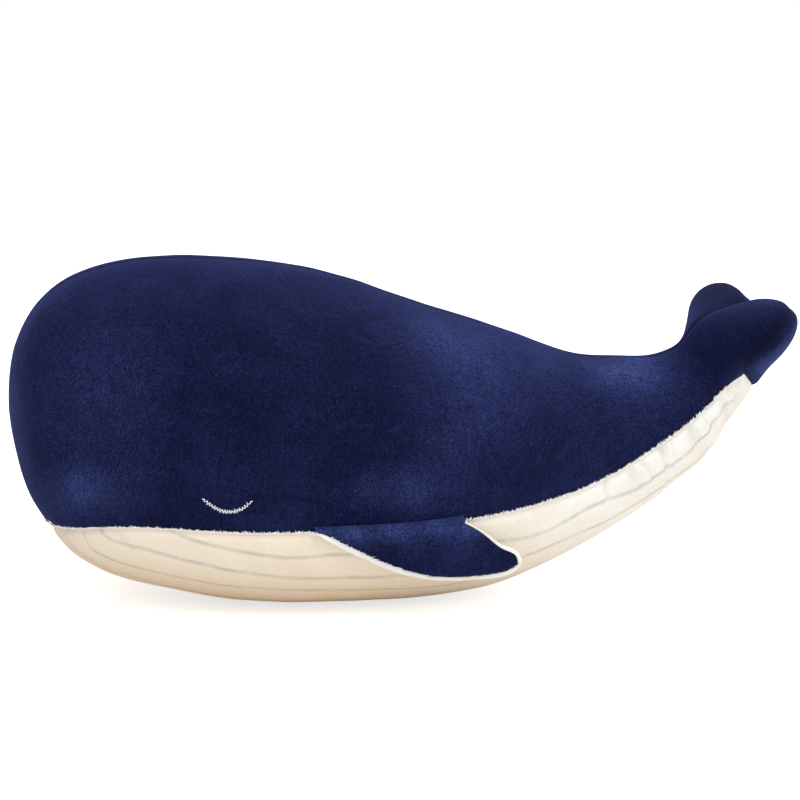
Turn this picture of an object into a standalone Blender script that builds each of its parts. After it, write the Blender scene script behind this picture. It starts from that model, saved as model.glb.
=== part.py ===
"""Plush whale: a stuffed body in two navy side panels and a cream belly panel,
with two pectoral fins that lift at their root seams and a fluke that bends at the tail.

The head points along -X, the whale's left side is -Y, and it lies with its flattened belly on z = 0.
Run with: blender --background --python part.py
"""

import math

import bmesh
import bpy
import numpy as np

# Overall sizes, in metres
BODY_LENGTH = 0.4780
NOSE_X = -0.2481
HEIGHT = 0.2180
WIDTH = 0.2120
FLAT_DEPTH = 0.0005

# Cloth and seams
PANEL_THICKNESS = 0.0030
SEAM_GAP = 0.0003
STUFFING_GAP = 0.0007
NEEDLE_STEP = 0.0001
MERGE_STEP = 0.000005
CUT_STEP = 0.0000001
OVERRUN = 0.0500

# Where the stuffing of the tail begins and ends, as shares of the way from nose to tail end
TAIL_STUFFING_START_SHARE = 0.700
TAIL_STUFFING_END_SHARE = 0.965

# Fluke, in its own frame: along the tail, across it, and through its thickness
FLUKE_LENGTH = 0.0560
FLUKE_SPAN = 0.1480
FLUKE_THICKNESS = 0.0420
FLUKE_RISE = 0.0040
FLUKE_LIFT = 0.0024
FLUKE_CLOTH = 0.0025
FLUKE_ROOT_RADIUS = 0.0232

# Pectoral fins
FIN_ROOT_LENGTH = 0.0940
FIN_DEPTH = 0.0415
FIN_THICKNESS = 0.0100
FIN_ROOT_RADIUS = 0.0024
FIN_CLOTH = 0.0015
FIN_CUP_RADIUS = 0.0700
FIN_LEAN = math.radians(14)
FIN_ROOT_START_SHARE = 0.383

# Closed eyes, each an arc of satin stitch
EYE_WIDTH = 0.0300
EYE_DROP = 0.0084
EYE_THREAD = 0.0024
EYE_ALONG_SHARE = 0.350
EYE_ROUND_SHARE = 0.572

# The body outline: top point along and up, bottom point along and up, and half width, from the nose back
BODY_SHARES = (
    (0.000, 0.579, 0.000, 0.579, 0.000),
    (0.009, 0.745, 0.012, 0.425, 0.404),
    (0.045, 0.885, 0.044, 0.276, 0.686),
    (0.101, 0.961, 0.101, 0.119, 0.858),
    (0.181, 0.996, 0.181, 0.050, 0.956),
    (0.275, 1.000, 0.279, 0.011, 0.998),
    (0.383, 0.976, 0.391, 0.000, 0.998),
    (0.492, 0.909, 0.512, 0.000, 0.949),
    (0.601, 0.834, 0.636, 0.023, 0.845),
    (0.696, 0.769, 0.741, 0.114, 0.686),
    (0.771, 0.719, 0.839, 0.238, 0.514),
    (0.832, 0.712, 0.916, 0.356, 0.367),
    (0.879, 0.722, 0.973, 0.470, 0.282),
    (0.914, 0.760, 1.000, 0.601, 0.250),
)

# How square a section is: 2 is an ellipse, and a larger power is fuller at its shoulders
BODY_POWERS = (2.15, 2.50)
ELLIPSE_POWERS = (2.0, 2.0)

# The belly seam: how far along the whale, and how high
SEAM_SHARES = (
    (0.000, 0.290),
    (0.106, 0.304),
    (0.277, 0.306),
    (0.394, 0.306),
    (0.511, 0.312),
    (0.623, 0.336),
    (0.724, 0.374),
    (0.812, 0.437),
    (0.880, 0.510),
    (0.931, 0.583),
    (0.970, 0.660),
    (0.990, 0.705),
)

# The fin outline from tip to root: front point along and out, back point along and out, and half thickness
FIN_SHARES = (
    (1.385, 0.740, 1.385, 0.740, 0.000),
    (1.300, 0.925, 1.345, 0.550, 0.640),
    (1.060, 1.000, 1.260, 0.420, 0.920),
    (0.760, 0.915, 1.180, 0.285, 1.000),
    (0.420, 0.590, 1.100, 0.140, 0.860),
    (0.000, 0.000, 1.000, 0.000, 0.420),
)

# One fluke lobe from tip to middle: leading point along and across, trailing point likewise, and half thickness
FLUKE_SHARES = (
    (0.690, 1.000, 0.690, 1.000, 0.000),
    (0.420, 0.920, 0.950, 0.890, 0.560),
    (0.240, 0.710, 0.990, 0.620, 0.880),
    (0.100, 0.420, 0.900, 0.280, 1.000),
    (0.055, 0.000, 0.680, 0.000, 0.960),
)

# How finely the surfaces are divided
NOSE_ROWS = 7
BODY_ROWS = 20
BACK_COLUMNS = 10
BELLY_COLUMNS = 10
FLUKE_ROWS = 8
FLUKE_COLUMNS = 16
FIN_ROWS = 10
FIN_COLUMNS = 10
ROOT_ROWS = 3
ROOT_SAMPLES = 5
EYE_STEPS = 14
ROUND_SIDES = 24
TAIL_ROW_POWER = 1.25
HALVINGS = 40
CHIN_ROW_LIMIT = 0.4
SEAM_TURN_LOWEST = 0.3
SOFT_EDGE = math.radians(50)
FLAT_EDGE = math.radians(5)

NAVY = (0.018, 0.026, 0.115, 1.0)
CREAM = (0.80, 0.73, 0.60, 1.0)
FIBRE = (0.86, 0.86, 0.84, 1.0)
THREAD = (0.72, 0.72, 0.82, 1.0)


def clear_scene():
    for obj in list(bpy.data.objects):
        bpy.data.objects.remove(obj, do_unlink=True)


def cloth_material(name, colour, roughness):
    material = bpy.data.materials.new(name)
    material.use_nodes = True
    shader = material.node_tree.nodes["Principled BSDF"]
    shader.inputs["Base Color"].default_value = colour
    shader.inputs["Roughness"].default_value = roughness
    shader.inputs["Metallic"].default_value = 0.0
    return material


def smooth_curve(knots, values, at):
    """A natural cubic curve through the values at the knots, read at the places asked for."""
    step = np.diff(knots)
    slope = np.diff(values, axis=0) / step[:, None]
    matrix = np.eye(len(knots))
    right = np.zeros_like(values)
    for i in range(1, len(knots) - 1):
        matrix[i, i - 1 : i + 2] = step[i - 1], 2 * (step[i - 1] + step[i]), step[i]
        right[i] = 6 * (slope[i] - slope[i - 1])
    bend = np.linalg.solve(matrix, right)
    i = np.clip(np.searchsorted(knots, at) - 1, 0, len(step) - 1)
    before = (at - knots[i])[..., None]
    after = (knots[i + 1] - at)[..., None]
    width = step[i][..., None]
    cubic = (bend[i] * after**3 + bend[i + 1] * before**3) / (6 * width)
    linear = (values[i] / width - bend[i] * width / 6) * after
    return cubic + linear + (values[i + 1] / width - bend[i + 1] * width / 6) * before


class Swelling:
    """A stuffed form drawn through pairs of outline points, with a rounded section across each pair.

    Row 0 is the pole where the outline turns round, and row 1 is the far end.
    """

    def __init__(self, fronts, backs, half_widths, roundness):
        steps = [np.linalg.norm(np.diff(line, axis=0), axis=1) for line in (fronts, backs)]
        way = np.concatenate([[0], np.cumsum(sum(steps) / 2)])
        way /= way[-1]
        self.knots = np.concatenate([-way[:0:-1], way])
        widths = np.concatenate([-half_widths[:0:-1], half_widths])
        self.values = np.column_stack([np.concatenate([backs[:0:-1], fronts]), widths])
        self.roundness = roundness

    def point(self, row, turn):
        """Outline plane along and up, and out of it; turn 0 is the front point and turn 1 the back point."""
        row, turn = np.broadcast_arrays(row, turn)
        front = smooth_curve(self.knots, self.values, row)
        back = smooth_curve(self.knots, self.values, -row)
        cosine, sine = np.cos(math.pi * turn), np.sin(math.pi * turn)
        first, last = self.roundness
        power = first + (last - first) * (1 - cosine) / 2
        reach = (np.abs(cosine) ** power + np.abs(sine) ** power) ** (-1 / power)
        centre = (front[..., :2] + back[..., :2]) / 2
        arm = (front[..., :2] - back[..., :2]) / 2
        plane = centre + arm * (reach * cosine)[..., None]
        return np.stack([plane[..., 0], plane[..., 1], -front[..., 2] * reach * sine], axis=-1)


def body_form():
    shares = np.array(BODY_SHARES)
    along = NOSE_X + BODY_LENGTH * shares[:, [0, 2]]
    up = (HEIGHT + FLAT_DEPTH) * shares[:, [1, 3]] - FLAT_DEPTH
    tops = np.stack([along[:, 0], up[:, 0]], axis=1)
    bottoms = np.stack([along[:, 1], up[:, 1]], axis=1)
    return Swelling(tops, bottoms, WIDTH / 2 * shares[:, 4], BODY_POWERS)


def body_point(form, row, turn):
    """A world point on the body: turn runs from the back (0) down the left side (0.5) to the belly (1)."""
    point = form.point(row, turn)
    return np.stack([point[..., 0], point[..., 2], point[..., 1]], axis=-1)


def body_slopes(form, row, turn):
    """How far the surface runs along, and round, for a unit of row and for a unit of turn."""
    small = NEEDLE_STEP / BODY_LENGTH
    row = np.maximum(row, small)
    along = body_point(form, row + small, turn) - body_point(form, row - small, turn)
    around = body_point(form, row, turn + small) - body_point(form, row, turn - small)
    return along / (2 * small), around / (2 * small)


def inner_point(form, row, turn, depth):
    """The point that lies depth inside the surface, square to it."""
    along, around = body_slopes(form, row, turn)
    outward = np.cross(around, along)
    outward /= np.linalg.norm(outward, axis=-1, keepdims=True)
    return body_point(form, row, turn) - depth * outward


def seam_height(along):
    shares = np.array(SEAM_SHARES)
    return smooth_curve(NOSE_X + BODY_LENGTH * shares[:, 0], HEIGHT * shares[:, 1:], along)[..., 0]


def above_seam(form, row, turn):
    point = body_point(form, np.asarray(row), np.asarray(turn))
    return float(point[..., 2] - seam_height(point[..., 0]))


def halve(is_before, low, high):
    """The place between low and high where is_before stops being true."""
    for _ in range(HALVINGS):
        middle = (low + high) / 2
        low, high = (middle, high) if is_before(middle) else (low, middle)
    return (low + high) / 2


def chin_row(form):
    """The row where the belly seam crosses the middle line under the chin."""
    return halve(lambda row: above_seam(form, row, 1.0) > 0, 0.0, CHIN_ROW_LIMIT)


def seam_turn(form, row):
    """How far round the belly seam runs on this row: 1 where there is no belly panel yet."""
    if above_seam(form, row, 1.0) >= 0:
        return 1.0
    return halve(lambda turn: above_seam(form, row, turn) > 0, SEAM_TURN_LOWEST, 1.0)


def skin_rows(form):
    """Rows that are close together at the nose and at the chin, where the outline turns fast."""
    chin = chin_row(form)
    nose = chin * (1 - np.cos(np.linspace(0, math.pi / 2, NOSE_ROWS + 1)))
    rest = chin + (1 - chin) * np.linspace(0, 1, BODY_ROWS + 1)[1:] ** TAIL_ROW_POWER
    rows = np.concatenate([nose, rest])
    for share in (TAIL_STUFFING_START_SHARE, TAIL_STUFFING_END_SHARE):
        rows[np.abs(rows - share).argmin()] = share
    return rows


def seam_margin(form, row, turn):
    """Half the seam gap, as a step in turn."""
    around = body_slopes(form, np.asarray(row), np.asarray(turn))[1]
    return SEAM_GAP / 2 / np.linalg.norm(around)


def panel_turns(form, rows, panel):
    """For each row, the turns across one panel: the left back, the belly, the right back or all of them."""
    table = []
    for row in rows:
        seam = seam_turn(form, row)
        margin = 0.0 if panel == "all" else seam_margin(form, row, seam)
        edge = seam - margin if seam < 1.0 else 1.0
        left = np.linspace(0.0, edge, BACK_COLUMNS + 1)
        inside = min(seam + margin, 1.0)
        belly = np.linspace(inside, 2.0 - inside, BELLY_COLUMNS + 1)
        right = 2.0 - left[::-1]
        parts = {"left": left, "belly": belly, "right": right}
        ring = np.concatenate([left, belly[1:-1], right[:-1]])
        table.append(parts.get(panel, ring))
    return np.array(table)


def grid_faces(rows, columns, start=0, flipped=False, closed=False, turning=None):
    """Two triangles for each cell, split alike in every layer; past the turning column they lean the other way."""
    faces = []
    turning = columns if turning is None else turning
    last = columns if closed else columns - 1
    for i in range(rows - 1):
        for j in range(last):
            k = (j + 1) % columns
            a, b = start + i * columns + j, start + i * columns + k
            c, d = b + columns, a + columns
            halves = ([a, b, c], [a, c, d]) if j < turning else ([a, b, d], [b, c, d])
            for face in halves:
                faces.append(face[::-1] if flipped else face)
    return faces


def edge_faces(edge, offset, flipped=False):
    """Faces from an edge of the outer grid to the same edge of the inner grid."""
    faces = []
    for a, b in zip(edge[:-1], edge[1:]):
        face = [a, b, b + offset, a + offset]
        faces.append(face[::-1] if flipped else face)
    return faces


def shell_faces(rows, columns, turning=None):
    """A sheet with thickness: outer grid, inner grid and the four edges."""
    size = rows * columns
    faces = grid_faces(rows, columns, turning=turning)
    faces += grid_faces(rows, columns, size, flipped=True, turning=turning)
    faces += edge_faces(list(range(columns)), size, flipped=True)
    faces += edge_faces(list(range(size - columns, size)), size)
    faces += edge_faces(list(range(0, size, columns)), size)
    faces += edge_faces(list(range(columns - 1, size, columns)), size, flipped=True)
    return faces


def solid_object(name, points, faces, material, parent=None):
    """One closed, smooth-shaded object with its faces pointing out, placed on its parent."""
    origin = np.array(parent.location) if parent else np.zeros(3)
    mesh = bpy.data.meshes.new(name)
    mesh.from_pydata((np.asarray(points).reshape(-1, 3) - origin).tolist(), [], faces)
    work = bmesh.new()
    work.from_mesh(mesh)
    bmesh.ops.remove_doubles(work, verts=work.verts, dist=MERGE_STEP)
    bmesh.ops.recalc_face_normals(work, faces=work.faces)
    work.to_mesh(mesh)
    work.free()
    mesh.materials.append(material)
    obj = bpy.data.objects.new(name, mesh)
    bpy.context.scene.collection.objects.link(obj)
    obj.parent = parent
    mesh.shade_smooth()
    mesh.set_sharp_from_angle(angle=SOFT_EDGE)
    return obj


def cut(obj, cutter, operation="DIFFERENCE"):
    cutter.hide_render = True
    cutter.display_type = "WIRE"
    modifier = obj.modifiers.new(cutter.name, "BOOLEAN")
    modifier.operation = operation
    modifier.solver = "EXACT"
    modifier.object = cutter


def cut_flat(obj):
    """The belly is cut flat on the surface that it lies on."""
    work = bmesh.new()
    work.from_mesh(obj.data)
    parts = work.verts[:] + work.edges[:] + work.faces[:]
    made = bmesh.ops.bisect_plane(
        work, geom=parts, dist=CUT_STEP, plane_no=(0, 0, 1), clear_inner=True
    )
    rim = [part for part in made["geom_cut"] if isinstance(part, bmesh.types.BMEdge)]
    bmesh.ops.edgenet_fill(work, edges=rim)
    bmesh.ops.recalc_face_normals(work, faces=work.faces)
    work.to_mesh(obj.data)
    work.free()
    obj.data.shade_smooth()
    obj.data.set_sharp_from_angle(angle=FLAT_EDGE)


def body_panel(form, name, panel, material):
    """A cloth panel of the body, from its outer face to PANEL_THICKNESS inside it."""
    rows = skin_rows(form)
    if panel == "belly":
        rows = rows[rows >= chin_row(form) - NEEDLE_STEP / BODY_LENGTH]
    turns = panel_turns(form, rows, panel)
    spots = np.broadcast_to(rows[:, None], turns.shape)
    layers = np.stack([inner_point(form, spots, turns, depth) for depth in (0.0, PANEL_THICKNESS)])
    if panel != "belly":
        side = -1 if panel == "left" else 1
        layers[:, 0] = layers[:, 0].mean(axis=1, keepdims=True)
        layers[..., 1] = side * np.maximum(side * layers[..., 1], SEAM_GAP / 2)
    else:
        layers[:, 0, :, 0] += SEAM_GAP
    turning = {"left": BACK_COLUMNS, "belly": BELLY_COLUMNS // 2, "right": 0}[panel]
    return solid_object(name, layers, shell_faces(*turns.shape, turning), material)


def stuffing(form, name, start, end, material):
    """Fibre inside the panels, from one row to another."""
    rows = skin_rows(form)
    rows = rows[(rows >= start) & (rows <= end)]
    turns = panel_turns(form, rows, "all")
    spots = np.broadcast_to(rows[:, None], turns.shape)
    points = inner_point(form, spots, turns, PANEL_THICKNESS + STUFFING_GAP)
    if start > 0:
        points[0, :, 0] += SEAM_GAP
    else:
        points[0] = points[0].mean(axis=0)
    count, columns = turns.shape
    faces = grid_faces(count, columns, closed=True, turning=columns // 2)
    faces.append(list(range((count - 1) * columns, count * columns)))
    if start > 0:
        faces.append(list(range(columns)))
    return solid_object(name, points, faces, material)


def ball(name, radius, parent):
    """A round cutter or root for the fluke, centred on the tail joint."""
    mesh = bpy.data.meshes.new(name)
    work = bmesh.new()
    bmesh.ops.create_uvsphere(work, u_segments=ROUND_SIDES, v_segments=ROUND_SIDES // 2, radius=radius)
    work.to_mesh(mesh)
    work.free()
    mesh.shade_smooth()
    obj = bpy.data.objects.new(name, mesh)
    bpy.context.scene.collection.objects.link(obj)
    obj.parent = parent
    obj.hide_render = True
    obj.display_type = "WIRE"
    return obj


def tail_joint(form):
    """An empty on the middle of the tail end, with its X along the tail and its Z through the fluke."""
    top, bottom = form.point(1.0, 0.0), form.point(1.0, 1.0)
    empty = bpy.data.objects.new("tail_joint", None)
    bpy.context.scene.collection.objects.link(empty)
    empty.location = ((top[0] + bottom[0]) / 2, 0, (top[1] + bottom[1]) / 2)
    lean = math.atan2(bottom[0] - top[0], top[1] - bottom[1])
    empty.rotation_euler = (0, -lean, 0)
    return empty


def fluke_points(depth):
    """Both lobes, depth inside their outer face, as rings from the left tip over the middle to the right tip."""
    shares = np.array(FLUKE_SHARES)
    outline = shares[:, :4].reshape(-1, 2, 2) * (FLUKE_LENGTH, FLUKE_SPAN / 2)
    middle = outline[-2].mean(axis=0) * (1, 0)
    outline = middle + (outline - middle) * (1 - 2 * depth / FLUKE_LENGTH, 1 - 2 * depth / FLUKE_SPAN)
    half = shares[:, 4] * (FLUKE_THICKNESS / 2 - depth)
    lobe = Swelling(outline[:, 0], outline[:, 1], half, ELLIPSE_POWERS)
    rows = 1 - np.cos(np.linspace(0, math.pi / 2, FLUKE_ROWS + 1))
    turns = np.linspace(0, 2, FLUKE_COLUMNS, endpoint=False)
    points = lobe.point(rows[:, None], turns[None, :])
    points[..., 2] += fluke_rise(points[..., 1])
    return np.concatenate([points * (1, -1, 1), points[-2::-1]])


def fluke_rise(across):
    """How far the middle face of the fluke is raised towards its tips."""
    return FLUKE_RISE * (2 * across / FLUKE_SPAN) ** 2 + FLUKE_LIFT


def fluke_solid(name, depth, joint, material):
    """The wing of the fluke with its round root, as one closed form."""
    points = fluke_points(depth)
    rows, columns = points.shape[:2]
    obj = solid_object(name, points, grid_faces(rows, columns, closed=True), material)
    obj.parent = joint
    root = ball(name + "_root", FLUKE_ROOT_RADIUS - depth, joint)
    cut(obj, root, "UNION")
    return obj


def half_space(name, joint, upper):
    """A cutter over the upper or lower half of the fluke, which follows the rise of its tips."""
    across = np.linspace(-1, 1, 2 * FLUKE_ROWS + 1) * (FLUKE_SPAN / 2 + OVERRUN)
    side = 1 if upper else -1
    near = fluke_rise(across) - side * SEAM_GAP / 2
    far = np.full_like(near, side * (FLUKE_THICKNESS + OVERRUN))
    reach = FLUKE_LENGTH + OVERRUN
    ring = np.stack([np.concatenate([across, across[::-1]]), np.concatenate([near, far])], axis=1)
    ends = [np.column_stack([np.full(len(ring), x), ring]) for x in (-reach, reach)]
    count = len(ring)
    faces = grid_faces(2, count, closed=True)
    faces += [list(range(count)), list(range(count, 2 * count))[::-1]]
    obj = solid_object(name, np.stack(ends), faces, cloth_material(name, FIBRE, 1.0))
    obj.parent = joint
    return obj


def fluke(joint, navy, fibre):
    """Upper and lower cloth over the stuffing of the fluke."""
    hollow = fluke_solid("fluke_hollow", FLUKE_CLOTH, joint, fibre)
    for name, upper in (("fluke_top_panel", True), ("fluke_underside_panel", False)):
        panel = fluke_solid(name, 0.0, joint, navy)
        cut(panel, hollow)
        cut(panel, half_space(name + "_split", joint, not upper))
    hollow.hide_render = True
    hollow.display_type = "WIRE"
    fluke_solid("fluke_stuffing", FLUKE_CLOTH + STUFFING_GAP, joint, fibre)


def fin_form():
    shares = np.array(FIN_SHARES)
    outline = shares[:, :4].reshape(-1, 2, 2) * (FIN_ROOT_LENGTH, FIN_DEPTH)
    half = shares[:, 4] * FIN_THICKNESS / 2
    half[-1] = FIN_ROOT_RADIUS
    return Swelling(outline[:, 0], outline[:, 1], half, ELLIPSE_POWERS)


def fin_grid(form, cloth):
    """Along, out and half thickness over the fin from tip to root, where it is rolled round the seam."""
    rows = 1 - np.cos(np.linspace(0, math.pi / 2, FIN_ROWS + 1))
    turns = np.linspace(0, 1, FIN_COLUMNS + 1)
    flat = form.point(rows[:, None], turns[None, :])
    half = np.maximum(np.abs(flat[..., 2]) - cloth, 0)
    roll = np.linspace(0, math.pi / 2, ROOT_ROWS + 1)[1:, None]
    along = np.concatenate([flat[..., 0], np.repeat(flat[-1:, :, 0], ROOT_ROWS, axis=0)])
    out = np.concatenate([flat[..., 1], flat[-1:, :, 1] - half[-1] * np.sin(roll)])
    return along, out, np.concatenate([half, half[-1] * np.cos(roll)])


def fin_frame(form):
    """Start of the left fin's hinge line, with unit steps along it, down the belly and off the belly."""
    along = NOSE_X + BODY_LENGTH * FIN_ROOT_START_SHARE + FIN_ROOT_LENGTH * np.linspace(0, 1, ROOT_SAMPLES)
    seam = []
    for x in along:
        row = halve(lambda u: body_point(form, u, seam_turn(form, u))[0] < x, chin_row(form), 1.0)
        seam.append((row, seam_turn(form, row)))
    points = np.array([body_point(form, row, turn) for row, turn in seam])
    step = (points[-1] - points[0]) / np.linalg.norm(points[-1] - points[0])
    down = body_slopes(form, *map(np.asarray, seam[len(seam) // 2]))[1]
    down -= step * down.dot(step)
    down /= np.linalg.norm(down)
    off = np.cross(down, step)
    bulge = ((points - points[0]) @ off).max()
    start = points[0] + off * (bulge + FIN_ROOT_RADIUS + SEAM_GAP)
    hang = down * math.cos(FIN_LEAN) + off * math.sin(FIN_LEAN)
    return start, step, hang, np.cross(hang, step)


def fin_place(frame, along, out, lift):
    """World points on the left fin, which is cupped round the belly."""
    start, step, hang, off = (axis[None, None, :] for axis in frame)
    bend = (out / FIN_CUP_RADIUS)[..., None]
    middle = start + along[..., None] * step
    middle = middle + FIN_CUP_RADIUS * (np.sin(bend) * hang - (1 - np.cos(bend)) * off)
    return middle + lift[..., None] * (np.cos(bend) * off + np.sin(bend) * hang)


def mirrored(points, side):
    """Left points as they are, or over on the right side."""
    return points * (1, -side, 1)


def fin_hinge(frame, name, side):
    """An empty at the front end of the fin's root, on its hinge line."""
    empty = bpy.data.objects.new(name, None)
    bpy.context.scene.collection.objects.link(empty)
    empty.location = mirrored(frame[0], side)
    return empty


def fin(frame, label, side, navy, cream, fibre):
    """Navy cloth outside, cream cloth against the belly and thin stuffing between them."""
    hinge = fin_hinge(frame, label + "_hinge", side)
    form = fin_form()
    for name, face, material in (("_top_panel", 1, navy), ("_underside_panel", -1, cream)):
        layers = []
        for cloth in (0.0, FIN_CLOTH):
            along, out, half = fin_grid(form, cloth)
            lift = face * (half + SEAM_GAP / 2)
            layers.append(mirrored(fin_place(frame, along, out, lift), side))
        faces = shell_faces(*layers[0].shape[:2])
        solid_object(label + name, np.stack(layers), faces, material, hinge)
    fin_stuffing(frame, label + "_stuffing", side, fibre, hinge)


def fin_stuffing(frame, name, side, material, hinge):
    """A thin pad of fibre that stops one cell short of the fin's edge."""
    inside = slice(2, FIN_ROWS + 1), slice(1, FIN_COLUMNS)
    along, out, half = (part[inside] for part in fin_grid(fin_form(), FIN_CLOTH + STUFFING_GAP))
    lift = half + SEAM_GAP / 4
    layers = np.stack([mirrored(fin_place(frame, along, out, face * lift), side) for face in (1, -1)])
    solid_object(name, layers, shell_faces(*along.shape), material, hinge)


def eye(form, name, side, material):
    """A closed eye: a shallow arc of thick stitching that lies on the cloth."""
    along, around = body_slopes(form, np.asarray(EYE_ALONG_SHARE), np.asarray(EYE_ROUND_SHARE))
    across = np.linspace(-1, 1, EYE_STEPS + 1)
    row = EYE_ALONG_SHARE + EYE_WIDTH / 2 * across / np.linalg.norm(along)
    turn = EYE_ROUND_SHARE + EYE_DROP * (1 - across**2) / np.linalg.norm(around)
    points = mirrored(inner_point(form, row, turn, -EYE_THREAD / 2 - SEAM_GAP), side)
    curve = bpy.data.curves.new(name, "CURVE")
    curve.dimensions = "3D"
    curve.bevel_depth = EYE_THREAD / 2
    curve.bevel_resolution = 1
    curve.use_fill_caps = True
    line = curve.splines.new("POLY")
    line.points.add(len(points) - 1)
    line.points.foreach_set("co", np.column_stack([points, np.ones(len(points))]).ravel())
    curve.materials.append(material)
    obj = bpy.data.objects.new(name, curve)
    bpy.context.scene.collection.objects.link(obj)
    return obj


def build():
    clear_scene()
    navy = cloth_material("navy_velvet", NAVY, 0.85)
    cream = cloth_material("cream_velvet", CREAM, 0.90)
    fibre = cloth_material("polyester_fibre", FIBRE, 0.95)
    form = body_form()
    body_panel(form, "back_panel_left", "left", navy)
    body_panel(form, "back_panel_right", "right", navy)
    cut_flat(body_panel(form, "belly_panel", "belly", cream))
    stuffing(form, "body_stuffing", 0.0, TAIL_STUFFING_START_SHARE, fibre)
    joint = tail_joint(form)
    tail = stuffing(form, "tail_stuffing", TAIL_STUFFING_START_SHARE, TAIL_STUFFING_END_SHARE, fibre)
    cut(tail, ball("tail_cup", FLUKE_ROOT_RADIUS + STUFFING_GAP, joint))
    fluke(joint, navy, fibre)
    frame = fin_frame(form)
    thread = cloth_material("lilac_thread", THREAD, 0.45)
    for label, side in (("left", -1), ("right", 1)):
        fin(frame, "fin_" + label, side, navy, cream, fibre)
        eye(form, "eye_" + label, side, thread)


build()
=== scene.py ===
"""Looks of the plush whale: velvet panels over a stuffed body, satin-stitched eyes, sewn fins and fluke."""

import math
import random

import bpy
import numpy as np
from mathutils import Matrix, Vector, kdtree, noise


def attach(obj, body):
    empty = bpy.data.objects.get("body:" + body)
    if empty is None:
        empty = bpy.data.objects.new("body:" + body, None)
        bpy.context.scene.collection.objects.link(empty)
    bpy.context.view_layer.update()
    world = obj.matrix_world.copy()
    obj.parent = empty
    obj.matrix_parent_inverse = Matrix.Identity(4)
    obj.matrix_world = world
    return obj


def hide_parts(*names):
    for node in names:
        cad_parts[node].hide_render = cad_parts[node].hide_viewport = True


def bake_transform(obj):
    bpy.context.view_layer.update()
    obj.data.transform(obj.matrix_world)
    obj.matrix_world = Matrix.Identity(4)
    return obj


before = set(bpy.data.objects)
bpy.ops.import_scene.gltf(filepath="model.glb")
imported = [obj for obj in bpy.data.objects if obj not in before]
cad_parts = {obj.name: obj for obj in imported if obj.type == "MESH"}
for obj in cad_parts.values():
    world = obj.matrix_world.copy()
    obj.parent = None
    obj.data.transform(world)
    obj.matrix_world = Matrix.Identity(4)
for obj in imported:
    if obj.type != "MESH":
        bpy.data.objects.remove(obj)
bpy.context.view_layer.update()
bpy.context.scene.view_settings.view_transform = "Standard"

# Sizes of the CAD part's body, in metres
BODY_LENGTH = 0.478
NOSE_X = -0.2481
HEIGHT = 0.218
WIDTH = 0.212
FLAT_DEPTH = 0.0005

# The tail joint, with unit steps along the fluke and through it
JOINT = np.array([0.20935, 0.0, 0.14819])
TAIL_ALONG = np.array([0.6455, 0.0, 0.7638])
TAIL_LIFT = np.array([-0.7638, 0.0, 0.6455])

# The left fin's hinge: where it starts, and unit steps along it, down the belly and off the belly
FIN_START = np.array([-0.06457, -0.10611, 0.06573])
FIN_STEP = np.array([0.9949, 0.0912, 0.0435])
FIN_HANG = np.array([0.0464, -0.0304, -0.9985])
FIN_OFF = np.array([0.0897, -0.9954, 0.0345])

# Points on the back and on the belly, and the width between them, in thousandths of the sizes above
BODY_SHARES = (
    (0, 579, 0, 579, 0), (9, 745, 12, 425, 404), (45, 885, 43, 264, 686), (101, 961, 101, 128, 858),
    (181, 996, 181, 62, 956), (275, 1000, 279, 16, 998), (383, 976, 391, 0, 998), (492, 909, 512, 8, 949),
    (601, 834, 636, 42, 845), (696, 769, 741, 124, 686), (771, 719, 839, 238, 514), (832, 712, 916, 356, 367),
    (879, 722, 973, 470, 282), (914, 760, 1000, 601, 250),
)
# The belly seam seen from the side, in thousandths of the length and height
SEAM_SHARES = (
    (0, 238), (50, 266), (106, 299), (277, 306), (394, 306), (511, 312), (623, 336),
    (724, 374), (812, 437), (880, 510), (931, 584), (957, 640), (980, 694), (995, 728),
)
BODY_POWERS = (2.15, 2.5)
BODY_RINGS, BODY_SIDES = 199, 144

# The fluke's outline from tip to middle, and how far its lobes curl up
FLUKE_LENGTH = 0.056
FLUKE_SPAN = 0.148
FLUKE_THICKNESS = 0.042
FLUKE_RISE = 0.0084
FLUKE_LIFT = 0.0024
FLUKE_SHARES = (
    (690, 1000, 690, 1000, 0), (420, 910, 985, 860, 560), (220, 710, 1060, 600, 860),
    (-40, 420, 980, 270, 1120), (-340, 0, 700, 0, 1360),
)
LOBE_RINGS, LOBE_SIDES = 59, 72
ROOT_RADIUS = 0.024
ROOT_RINGS, ROOT_SIDES = 23, 48

# The fin's outline from tip to root
FIN_ROOT_LENGTH = 0.094
FIN_DEPTH = 0.0415
FIN_THICKNESS = 0.01
FIN_CUP_RADIUS = 0.07
TIP_INSET = 0.003
FIN_SHARES = (
    (1388, 745, 1388, 745, 0), (1325, 925, 1358, 560, 700), (1060, 1000, 1260, 420, 920),
    (760, 915, 1180, 285, 1000), (420, 590, 1100, 140, 860), (0, 0, 1000, 0, 480),
)
# Shares of the way from the fin's hinge to the belly seam, where its cloth runs on
ROOT_SHARES = (0.2, 0.4, 0.6, 0.8, 1.0)

EYE_WIDTH = 0.0288
EYE_DROP = 0.0074
EYE_TILT = 0.0011
EYE_ROW = 0.3515
EYE_TURN = 0.572
EYE_STRANDS = 38
STRAND_LENGTH = 0.00196
STRAND_RADIUS = 0.00026

# Cloth, and how its seams sink in
VOXEL = 0.002
CROSS_SEAM = 0.008
SEAM_DROP = 0.0022
SEAM_DEPTH = 0.0016
SEAM_WIDTH = 0.003
BACK_SEAM_DEPTH = 0.0009
BACK_SEAM_WIDTH = 0.0022
CLOTH = 0.0018
FIN_CLOTH = 0.0009

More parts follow.
